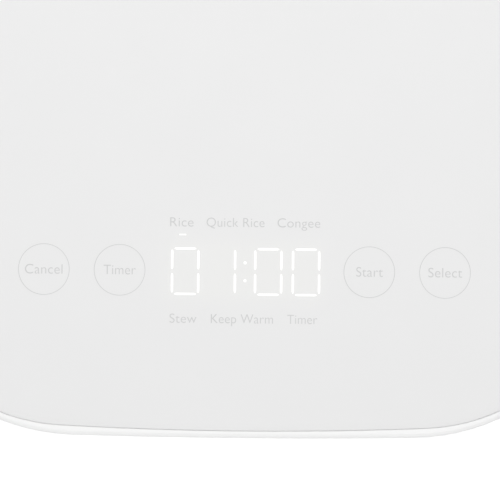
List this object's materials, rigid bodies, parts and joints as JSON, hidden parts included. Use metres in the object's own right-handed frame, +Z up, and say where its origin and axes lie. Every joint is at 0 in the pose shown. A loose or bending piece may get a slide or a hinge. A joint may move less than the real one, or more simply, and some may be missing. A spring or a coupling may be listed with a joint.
{
  "type": "rice cooker",
  "caption": "Rounded box-shaped electric rice cooker with a hinged lid, touch display panel, steam valve and removable pot.",
  "frame": {"origin": "middle of the footprint, on the surface the cooker stands on", "axes": "+X to the right seen from the front, +Y to the rear, +Z up; the front with the button faces -Y"},
  "size_m": [0.252, 0.31, 0.205],
  "materials": {
    "body_white": "satin white moulded plastic",
    "panel_white": "fine matte white moulded plastic with grey print",
    "grey_plastic": "satin light grey moulded plastic",
    "black_plastic": "fine matte black moulded plastic",
    "rubber": "matte dark rubber",
    "silicone": "translucent white silicone",
    "steel": "plain brushed steel",
    "aluminium": "satin aluminium",
    "pot_coat": "dark speckled non-stick coating on aluminium",
    "board_green": "green circuit board",
    "brass": "plain brass",
    "wire": "sleeved wire bundle",
    "print_grey": "light grey printed ink",
    "display_light": "white light-emitting segments"
  },
  "bodies": {
    "base": {"body_shell": "body_white", "hinge_cover": "body_white", "base_plate": "grey_plastic", "deck_ring": "grey_plastic", "foot_front_left": "rubber", "foot_front_right": "rubber", "foot_rear_left": "rubber", "foot_rear_right": "rubber", "base_screw_1": "steel", "base_screw_2": "steel", "base_screw_3": "steel", "base_screw_4": "steel", "hinge_bracket_left": "steel", "hinge_bracket_right": "steel", "lid_spring_left": "steel", "lid_spring_right": "steel", "hinge_shaft": "steel", "pot_liner": "steel", "heater_element": "steel", "sensor_bracket": "steel", "sensor_spring": "steel", "latch_pin": "steel", "latch_bracket": "steel", "latch_spring": "steel", "side_heater": "aluminium", "heating_plate": "aluminium", "inner_pot": "pot_coat", "thermal_fuse": "brass", "inlet_pin_line": "brass", "inlet_pin_earth": "brass", "inlet_pin_neutral": "brass", "power_board": "board_green", "power_transformer": "black_plastic", "power_relay": "black_plastic", "filter_capacitor": "black_plastic", "power_inlet": "black_plastic", "body_harness": "wire"},
    "latch_hook": {"latch_hook": "grey_plastic"},
    "release_button": {"release_button": "body_white"},
    "pot_sensor": {"sensor_cap": "aluminium", "sensor_thermistor": "brass"},
    "lid": {"lid_shell": "body_white", "lid_panel": "panel_white", "lid_liner": "grey_plastic", "lid_striker": "steel", "control_board": "board_green", "led_display": "grey_plastic", "touch_spring_1": "steel", "touch_spring_2": "steel", "touch_spring_3": "steel", "touch_spring_4": "steel", "lid_harness": "wire", "inner_lid": "aluminium", "lid_gasket": "silicone", "steam_duct_seal": "silicone", "clip_spring": "steel"},
    "steam_valve": {"steam_valve_cup": "grey_plastic", "steam_valve_cap": "body_white"},
    "inner_lid_clip": {"inner_lid_clip": "grey_plastic"}
  },
  "joints": [
    {"name": "lid_hinge", "type": "hinge", "parent": "base", "child": "lid", "pos_m": [0, 0.112, 0.2], "axis": [-1, 0, 0], "range_deg": [0, 85]},
    {"name": "release_button", "type": "slide", "parent": "base", "child": "release_button", "axis": [0, 1, 0], "range_m": [0, 0.003], "stiffness_N_per_m": 300, "deforming": ["latch_spring"]},
    {"name": "latch_turn", "type": "hinge", "parent": "base", "child": "latch_hook", "pos_m": [0, -0.139, 0.112], "axis": [-1, 0, 0], "range_deg": [0, 8.6], "deforming": ["latch_spring"]},
    {"name": "sensor_travel", "type": "slide", "parent": "base", "child": "pot_sensor", "axis": [0, 0, 1], "range_m": [-0.003, 0], "stiffness_N_per_m": 400, "deforming": ["sensor_spring"]},
    {"name": "steam_valve_lift", "type": "slide", "parent": "lid", "child": "steam_valve", "axis": [0, 0, 1], "range_m": [0, 0.042]},
    {"name": "inner_lid_clip_slide", "type": "slide", "parent": "lid", "child": "inner_lid_clip", "axis": [0, -1, 0], "range_m": [0, 0.003], "stiffness_N_per_m": 250, "deforming": ["clip_spring"]}
  ],
  "couplings": [
    {"joint": "latch_turn", "follows": "release_button", "rad_per_m": 50}
  ]
}
